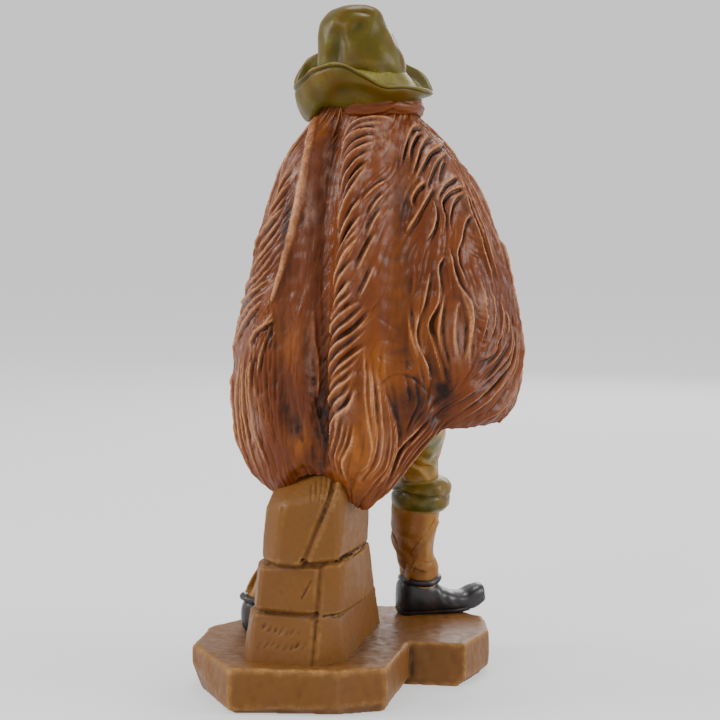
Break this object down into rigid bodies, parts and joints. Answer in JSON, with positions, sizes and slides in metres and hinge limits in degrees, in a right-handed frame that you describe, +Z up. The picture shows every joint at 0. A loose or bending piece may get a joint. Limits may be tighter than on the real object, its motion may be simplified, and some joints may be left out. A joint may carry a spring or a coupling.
{
  "type": "nativity shepherd figurine",
  "caption": "Painted shepherd figurine in a floppy hat and a long fleece cloak, half seated on a pile of dressed stones on a rough flat plate.",
  "frame": {"origin": "middle of the flat underside of the plate", "axes": "+Z up, +Y the way the shepherd faces, +X to the side of his right hand"},
  "size_m": [0.1495, 0.1291, 0.3042],
  "materials": {
    "painted_resin": "cast resin, hand painted in browns, olive green and black with a dark wash in the carving and a satin varnish"
  },
  "bodies": {
    "root": {"shepherd_figurine": "painted_resin"}
  },
  "joints": []
}
